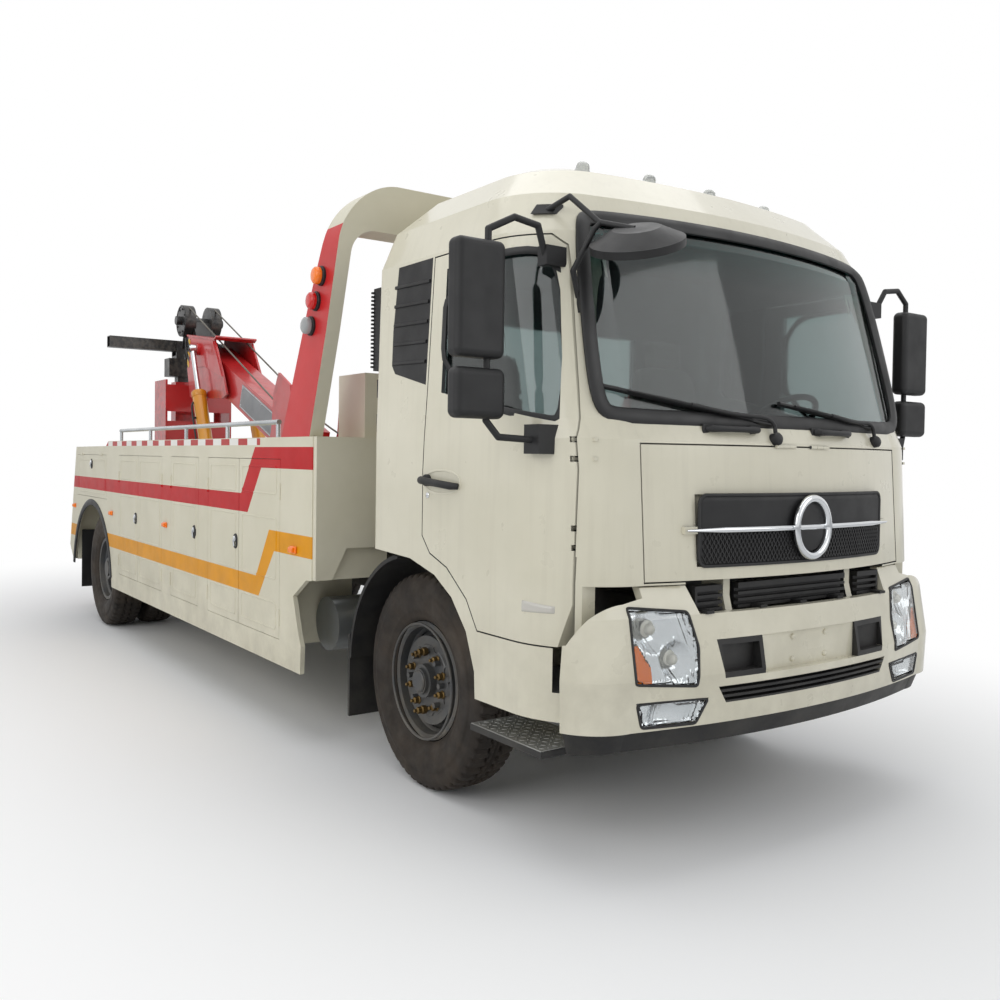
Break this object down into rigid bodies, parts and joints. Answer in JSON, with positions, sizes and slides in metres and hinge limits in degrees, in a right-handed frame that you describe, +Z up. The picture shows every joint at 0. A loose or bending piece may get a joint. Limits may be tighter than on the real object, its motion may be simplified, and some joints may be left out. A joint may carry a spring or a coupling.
{
  "type": "tow truck",
  "caption": "Forward-control road wrecker with tilting cab, side lockers under a long deck, lifting and telescoping recovery boom, folding rear underlift.",
  "frame": {"origin": "on the ground under the middle of the vehicle's length and width", "axes": "+X forward, +Y to the driver's left hand, +Z up"},
  "size_m": [8.4388, 2.98, 3.1168],
  "materials": {
    "cream_paint": "gloss cream enamel",
    "red_paint": "gloss red enamel",
    "cylinder_yellow": "gloss yellow-orange enamel",
    "chassis_black": "satin black chassis paint",
    "gear_black": "satin black paint, worn",
    "engine_grey": "painted cast iron",
    "rim_grey": "dark grey wheel paint",
    "tank_paint": "satin paint",
    "deck_plate": "painted tread plate",
    "bright_steel": "galvanised tube",
    "chrome_rod": "hard chrome",
    "black_plastic": "grained black plastic",
    "dark_trim": "dark grey cab trim",
    "lamp_lens": "clear and coloured lenses",
    "glass": "tinted safety glass",
    "seat_cloth": "woven seat cloth",
    "tyre": "road tyre rubber"
  },
  "bodies": {
    "root": {"chassis_frame": "chassis_black", "engine_and_gearbox": "engine_grey", "front_axle": "chassis_black", "rear_axle": "chassis_black", "front_bumper": "cream_paint", "bumper_trim": "black_plastic", "lamps": "lamp_lens", "front_mudguards": "black_plastic", "tanks": "tank_paint", "body_side_right": "cream_paint", "body_side_left": "cream_paint", "body_deck": "deck_plate", "portal_arch": "cream_paint", "handrails": "bright_steel", "boom_stand": "red_paint", "rear_mast": "red_paint"},
    "cab": {"cab_shell": "cream_paint", "cab_roof": "cream_paint", "cab_glass": "glass", "cab_trim": "black_plastic", "dashboard": "dark_trim", "seats": "seat_cloth", "air_intake": "black_plastic"},
    "front_lid": {"cab_front_lid": "cream_paint"},
    "door_right": {"door_right": "cream_paint", "door_glass_right": "glass", "mirrors_right": "black_plastic"},
    "door_left": {"door_left": "cream_paint", "door_glass_left": "glass", "mirrors_left": "black_plastic"},
    "knuckle_right": {"knuckle_right": "chassis_black"},
    "knuckle_left": {"knuckle_left": "chassis_black"},
    "wheel_front_right": {"front_tyre_right": "tyre", "front_rim_right": "rim_grey"},
    "wheel_front_left": {"front_tyre_left": "tyre", "front_rim_left": "rim_grey"},
    "wheels_rear_right": {"rear_tyres_right": "tyre", "rear_rims_right": "rim_grey"},
    "wheels_rear_left": {"rear_tyres_left": "tyre", "rear_rims_left": "rim_grey"},
    "boom": {"boom_outer": "red_paint"},
    "boom_tip": {"boom_inner": "gear_black"},
    "lift_barrels": {"lift_barrels": "cylinder_yellow"},
    "lift_rods": {"lift_rods": "chrome_rod"},
    "underlift_carriage": {"underlift_carriage": "red_paint"},
    "underlift_arm": {"underlift_arm": "red_paint"},
    "underlift_extension": {"underlift_extension": "gear_black"},
    "crossbar": {"underlift_crossbar": "gear_black"},
    "arch_flap_right": {"arch_flap_right": "cream_paint"},
    "locker_a_right": {"locker_a_right": "cream_paint"},
    "locker_b_right": {"locker_b_right": "cream_paint"},
    "locker_c_right": {"locker_c_right": "cream_paint"},
    "locker_d_right": {"locker_d_right": "cream_paint"},
    "locker_e_right": {"locker_e_right": "cream_paint"},
    "arch_flap_left": {"arch_flap_left": "cream_paint"},
    "locker_a_left": {"locker_a_left": "cream_paint"},
    "locker_b_left": {"locker_b_left": "cream_paint"},
    "locker_c_left": {"locker_c_left": "cream_paint"},
    "locker_d_left": {"locker_d_left": "cream_paint"},
    "locker_e_left": {"locker_e_left": "cream_paint"}
  },
  "joints": [
    {"name": "cab_tilt", "type": "hinge", "parent": "root", "child": "cab", "pos_m": [4.08, 0, 0.95], "axis": [0, 1, 0], "range_deg": [0, 45]},
    {"name": "front_lid_lift", "type": "hinge", "parent": "cab", "child": "front_lid", "pos_m": [4.132, 0, 1.625], "axis": [0, -1, 0], "range_deg": [0, 75]},
    {"name": "door_right_swing", "type": "hinge", "parent": "cab", "child": "door_right", "pos_m": [3.895, -1.04, 1.5], "axis": [0, 0, 1], "range_deg": [0, 65]},
    {"name": "door_left_swing", "type": "hinge", "parent": "cab", "child": "door_left", "pos_m": [3.895, 1.04, 1.5], "axis": [0, 0, -1], "range_deg": [0, 65]},
    {"name": "steer_right", "type": "hinge", "parent": "root", "child": "knuckle_right", "pos_m": [2.78, -0.745, 0.509], "axis": [0, 0, 1], "range_deg": [-33, 33]},
    {"name": "steer_left", "type": "hinge", "parent": "root", "child": "knuckle_left", "pos_m": [2.78, 0.745, 0.509], "axis": [0, 0, 1], "range_deg": [-33, 33]},
    {"name": "wheel_front_right_spin", "type": "hinge", "parent": "knuckle_right", "child": "wheel_front_right", "pos_m": [2.78, -0.9, 0.509], "axis": [0, 1, 0], "continuous": true},
    {"name": "wheel_front_left_spin", "type": "hinge", "parent": "knuckle_left", "child": "wheel_front_left", "pos_m": [2.78, 0.9, 0.509], "axis": [0, 1, 0], "continuous": true},
    {"name": "wheels_rear_right_spin", "type": "hinge", "parent": "root", "child": "wheels_rear_right", "pos_m": [-2.52, -0.925, 0.509], "axis": [0, 1, 0], "continuous": true},
    {"name": "wheels_rear_left_spin", "type": "hinge", "parent": "root", "child": "wheels_rear_left", "pos_m": [-2.52, 0.925, 0.509], "axis": [0, 1, 0], "continuous": true},
    {"name": "boom_lift", "type": "hinge", "parent": "root", "child": "boom", "pos_m": [-0.62, 0, 1.59], "axis": [0, 1, 0], "range_deg": [0, 25]},
    {"name": "boom_extend", "type": "slide", "parent": "boom", "child": "boom_tip", "axis": [-0.9336, 0, 0.3584], "range_m": [0, 1.2]},
    {"name": "lift_barrels_swing", "type": "hinge", "parent": "root", "child": "lift_barrels", "pos_m": [-2.19, 0, 0.95], "axis": [0, 1, 0], "range_deg": [0, 22.56]},
    {"name": "lift_rods_slide", "type": "slide", "parent": "lift_barrels", "child": "lift_rods", "axis": [-0.4138, 0, 0.9104], "range_m": [0, 0.736]},
    {"name": "underlift_lower", "type": "slide", "parent": "root", "child": "underlift_carriage", "axis": [0, 0, 1], "range_m": [-0.6, 0]},
    {"name": "underlift_fold", "type": "hinge", "parent": "underlift_carriage", "child": "underlift_arm", "pos_m": [-4.05, 0, 1.1], "axis": [0, -1, 0], "range_deg": [0, 95]},
    {"name": "underlift_extend", "type": "slide", "parent": "underlift_arm", "child": "underlift_extension", "axis": [0, 0, 1], "range_m": [0, 0.8]},
    {"name": "crossbar_swivel", "type": "hinge", "parent": "underlift_extension", "child": "crossbar", "pos_m": [-4.133, 0, 2.74], "axis": [1, 0, 0], "range_deg": [-20, 20]},
    {"name": "arch_flap_right_lift", "type": "hinge", "parent": "root", "child": "arch_flap_right", "pos_m": [-2.785, -1.245, 1.54], "axis": [-1, 0, 0], "range_deg": [0, 80]},
    {"name": "locker_a_right_swing", "type": "hinge", "parent": "root", "child": "locker_a_right", "pos_m": [-1.8, -1.245, 1.04], "axis": [0, 0, -1], "range_deg": [0, 85]},
    {"name": "locker_b_right_swing", "type": "hinge", "parent": "root", "child": "locker_b_right", "pos_m": [-0.58, -1.245, 1.04], "axis": [0, 0, 1], "range_deg": [0, 85]},
    {"name": "locker_c_right_swing", "type": "hinge", "parent": "root", "child": "locker_c_right", "pos_m": [-0.36, -1.245, 1.04], "axis": [0, 0, -1], "range_deg": [0, 85]},
    {"name": "locker_d_right_swing", "type": "hinge", "parent": "root", "child": "locker_d_right", "pos_m": [0.44, -1.245, 1.04], "axis": [0, 0, -1], "range_deg": [0, 85]},
    {"name": "locker_e_right_swing", "type": "hinge", "parent": "root", "child": "locker_e_right", "pos_m": [1.63, -1.245, 1.04], "axis": [0, 0, 1], "range_deg": [0, 85]},
    {"name": "arch_flap_left_lift", "type": "hinge", "parent": "root", "child": "arch_flap_left", "pos_m": [-2.785, 1.245, 1.54], "axis": [1, 0, 0], "range_deg": [0, 80]},
    {"name": "locker_a_left_swing", "type": "hinge", "parent": "root", "child": "locker_a_left", "pos_m": [-1.8, 1.245, 1.04], "axis": [0, 0, 1], "range_deg": [0, 85]},
    {"name": "locker_b_left_swing", "type": "hinge", "parent": "root", "child": "locker_b_left", "pos_m": [-0.58, 1.245, 1.04], "axis": [0, 0, -1], "range_deg": [0, 85]},
    {"name": "locker_c_left_swing", "type": "hinge", "parent": "root", "child": "locker_c_left", "pos_m": [-0.36, 1.245, 1.04], "axis": [0, 0, 1], "range_deg": [0, 85]},
    {"name": "locker_d_left_swing", "type": "hinge", "parent": "root", "child": "locker_d_left", "pos_m": [0.44, 1.245, 1.04], "axis": [0, 0, 1], "range_deg": [0, 85]},
    {"name": "locker_e_left_swing", "type": "hinge", "parent": "root", "child": "locker_e_left", "pos_m": [1.63, 1.245, 1.04], "axis": [0, 0, -1], "range_deg": [0, 85]}
  ],
  "couplings": [
    {"joint": "steer_left", "follows": "steer_right", "ratio": 1},
    {"joint": "lift_barrels_swing", "follows": "boom_lift", "ratio": 0.8822},
    {"joint": "lift_rods_slide", "follows": "boom_lift", "m_per_rad": 1.6629}
  ]
}
